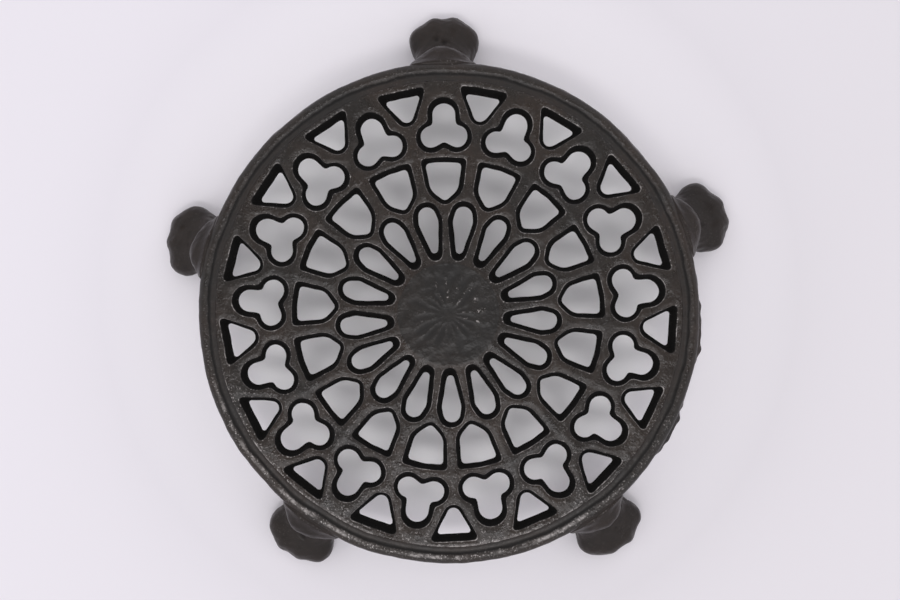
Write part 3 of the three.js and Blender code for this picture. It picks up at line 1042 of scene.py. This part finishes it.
# Painted light on the pale board: darker along BOARD_DARKENS_ALONG, a painted pool of light round the
# trivet (the halo) and under it, brightest toward -Y. Distances are in metres.
BOARD_DARKENS_ALONG = (0.85, -0.5, 0)
BOARD_FADE = (-0.17, 0.13)
BOARD_LIGHT = (0.795, 0.771, 0.811)
BOARD_DARK = (0.742, 0.719, 0.745)
HALO = (0.935, 0.91, 0.94)
HALO_FADE = (0.098, 0.150)
UNDER_FRONT = (0.97, 0.96, 0.965)
UNDER_BACK = (0.80, 0.795, 0.795)
UNDER_FADE_Y = (-0.10, 0.08)
UNDER_FADE = (0.085, 0.100)


def floor_material():
    """Pale board with painted light: darker along one direction, and whiter round and under the trivet."""
    n = Nodes("pale_board")
    across = n.tree.nodes.new("ShaderNodeVectorMath")
    across.operation = "DOT_PRODUCT"
    across.inputs[1].default_value = BOARD_DARKENS_ALONG
    n.link(n.coordinates, across.inputs[0])
    colour = n.mix(n.remap(across.outputs["Value"], *BOARD_FADE), BOARD_LIGHT, BOARD_DARK)
    distance = n.tree.nodes.new("ShaderNodeVectorMath")
    distance.operation = "LENGTH"
    n.link(n.coordinates, distance.inputs[0])
    around = n.remap(distance.outputs["Value"], *HALO_FADE, 1.0, 0.0)
    colour = n.mix(around, colour, HALO)
    along = n.tree.nodes.new("ShaderNodeSeparateXYZ")
    n.link(n.coordinates, along.inputs[0])
    under = n.mix(n.remap(along.outputs["Y"], *UNDER_FADE_Y), UNDER_FRONT, UNDER_BACK)
    near = n.remap(distance.outputs["Value"], *UNDER_FADE, 1.0, 0.0)
    colour = n.mix(near, colour, under)
    n.link(colour, n.shader.inputs["Base Color"])
    n.shader.inputs["Roughness"].default_value = 0.7
    n.shader.inputs["Specular IOR Level"].default_value = 0.1
    return n.material


# Bare worn iron, also the colour of the painted sheen, sparkle and highlights.
WORN_AND_SHEEN = (0.36, 0.335, 0.320)
# Worn colour of the deep walls, darkened as painted shade.
SHADED_WALL_WORN = (0.050, 0.042, 0.036)


def foot_iron(name):
    return iron(
        name, (0.0112, 0.0067, 0.0046), (0.0150, 0.0090, 0.0060), WORN_AND_SHEEN,
        gloss=1.36, rough_range=(0.30, 0.42), grain=0.2,
    )


MATERIALS = {
    "plate": iron(
        "oxide_iron", (0.0100, 0.0071, 0.0050), (0.0190, 0.0110, 0.0064), WORN_AND_SHEEN,
        gloss=1.44, rough_range=(0.24, 0.34), grain=0.28,
    ),
    "hub": iron(
        "oxide_iron_hub", (0.0105, 0.0092, 0.0080), (0.0145, 0.0108, 0.0084), WORN_AND_SHEEN,
        gloss=1.40, rough_range=(0.26, 0.36), grain=0.2,
    ),
    "rim": iron(
        "oxide_iron_rim", (0.0100, 0.0073, 0.0053), (0.0190, 0.0110, 0.0068), WORN_AND_SHEEN,
        gloss=1.45, rough_range=(0.25, 0.36), grain=0.28,
    ),
    "leg": foot_iron("oxide_iron_leg"),
    "paw": foot_iron("oxide_iron_paw"),
    # Deep walls: a darker copy of the iron, its darkness painted shade, its roughness the raw casting's.
    "shaded_raw": iron(
        "shaded_raw_iron_walls", (0.0060, 0.0050, 0.0042), (0.0075, 0.0056, 0.0044), SHADED_WALL_WORN,
        gloss=1.3, rough_range=(0.75, 0.9),
    ),
}


# ---------------------------------------------------------------- the plate and the rim

def all_openings(kind, first_seed):
    return [opening_levels(kind, bay, first_seed + bay) for bay in range(BAYS)]


def make_plate():
    hub_loop = circle(HUB_SEAM, HUB_SEGMENTS)
    waist_loop = circle(WAIST_SEAM, WAIST_SEGMENTS)
    edge_loop = circle(EDGE_SEAM, EDGE_SEGMENTS)
    arcade = all_openings(PETAL, 1000) + all_openings(ARCH, 1100)
    tracery = all_openings(TREFOIL, 1200) + all_openings(TRIANGLE, 1300)
    pieces = [
        hub(),
        pierced_ring("arcade_ring_cast", hub_loop, waist_loop, arcade),
        pierced_ring("trefoil_ring_cast", waist_loop, edge_loop, tracery),
        rim(),
    ]
    for piece in pieces:
        piece.points = warped(piece.points)
    looks = [("centre_boss", "hub"), ("arcade_ring", "plate"), ("trefoil_ring", "plate"), ("rim", "rim")]
    for piece, normals, (node, slot) in zip(pieces, shared_normals(pieces), looks):
        faces, hidden = piece.triangles()
        made = make_object(
            piece.name, piece.points, faces, hidden, normals, piece.wear_and_sheen, piece.recess_shade, MATERIALS[slot],
            shaded_raw=np.concatenate(piece.shaded_raw),
        )
        settle(made, node)


make_plate()
for foot_number in range(1, FEET + 1):
    make_foot(foot_number)


# ---------------------------------------------------------------- camera, floor and light

IMAGE_TURN = math.radians(1.5)  # the pattern's +Y leans this far to the left of the picture's up
CAMERA_HEIGHT = 600  # above the plate's top
CAMERA_OVER = (10.8, 17.85)  # right and up of the plate's middle, as pictured
CAMERA_AIM = (0.7, 5.75)
SENSOR_WIDTH = 36
LENS = 59.5
FLOOR_REACH = 6.0  # in metres, as are the next two
FLOOR_DROP = 0.0002  # keeps the board clear of the soles
SOFTBOX = (0.8, 0.22)
# Brightness of the studio round the object: sine of the elevation, and strength there.
STUDIO = [(0.0, 0.85), (0.35, 1.0), (0.72, 1.10), (0.82, 0.95), (0.91, 0.38), (1.0, 0.17)]
STUDIO_TINT = (0.975, 0.96, 1.0)
STUDIO_STRENGTH = 1.05


def pictured(right, up, height):
    """A point given along the picture's right and up, in metres in the row frame."""
    c, s = math.cos(IMAGE_TURN), math.sin(IMAGE_TURN)
    return Vector((
        (PLATE_X + right * c + up * s) * MM,
        (PLATE_Y - right * s + up * c) * MM,
        height * MM,
    ))


def make_camera():
    data = bpy.data.cameras.new("camera")
    data.sensor_width = SENSOR_WIDTH
    data.lens = LENS
    data.clip_start = 0.01
    data.clip_end = 20
    camera = bpy.data.objects.new("camera", data)
    bpy.context.scene.collection.objects.link(camera)
    eye = pictured(*CAMERA_OVER, TOP + CAMERA_HEIGHT)
    aim = pictured(*CAMERA_AIM, TOP)
    up = pictured(0, 1, 0) - pictured(0, 0, 0)
    back = (eye - aim).normalized()
    right = up.cross(back).normalized()
    up = back.cross(right)
    turn = Matrix((right, up, back)).transposed().to_4x4()
    camera.matrix_world = Matrix.Translation(eye) @ turn
    bpy.context.scene.camera = camera


def make_floor():
    data = bpy.data.meshes.new("floor")
    reach = FLOOR_REACH
    data.from_pydata(
        [(-reach, -reach, 0), (reach, -reach, 0), (reach, reach, 0), (-reach, reach, 0)],
        [], [(0, 1, 2, 3)],
    )
    data.materials.append(floor_material())
    floor = bpy.data.objects.new("floor", data)
    bpy.context.scene.collection.objects.link(floor)
    floor.location.z = -FLOOR_DROP


def softbox(name, place, power, colour):
    """A rectangular lamp that points at the origin."""
    data = bpy.data.lights.new(name, "AREA")
    data.shape = "RECTANGLE"
    data.size, data.size_y = SOFTBOX
    data.energy = power
    data.color = colour
    light = bpy.data.objects.new(name, data)
    bpy.context.scene.collection.objects.link(light)
    light.location = place
    light.rotation_euler = (-Vector(place)).to_track_quat("-Z", "Y").to_euler()


def make_lights():
    softbox("key_softbox", (-0.06, -0.52, 1.60), 5.5, (1.0, 0.985, 1.0))
    softbox("back_softbox", (0.05, 0.42, 1.60), 1.0, (1.0, 0.985, 0.98))
    world = bpy.data.worlds.new("studio")
    bpy.context.scene.world = world
    world.use_nodes = True
    tree = world.node_tree
    place = tree.nodes.new("ShaderNodeTexCoord")
    height = tree.nodes.new("ShaderNodeSeparateXYZ")
    tree.links.new(place.outputs["Generated"], height.inputs[0])
    ramp = tree.nodes.new("ShaderNodeValToRGB")
    stops = ramp.color_ramp.elements
    while len(stops) < len(STUDIO):
        stops.new(0.5)
    for stop, (sine, strength) in zip(stops, STUDIO):
        stop.position = sine
        stop.color = (*scaled(STUDIO_TINT, strength), 1)
    tree.links.new(height.outputs["Z"], ramp.inputs["Fac"])
    background = tree.nodes["Background"]
    tree.links.new(ramp.outputs["Color"], background.inputs["Color"])
    background.inputs["Strength"].default_value = STUDIO_STRENGTH


make_camera()
make_floor()
make_lights()
bpy.context.scene.view_settings.view_transform = "Standard"
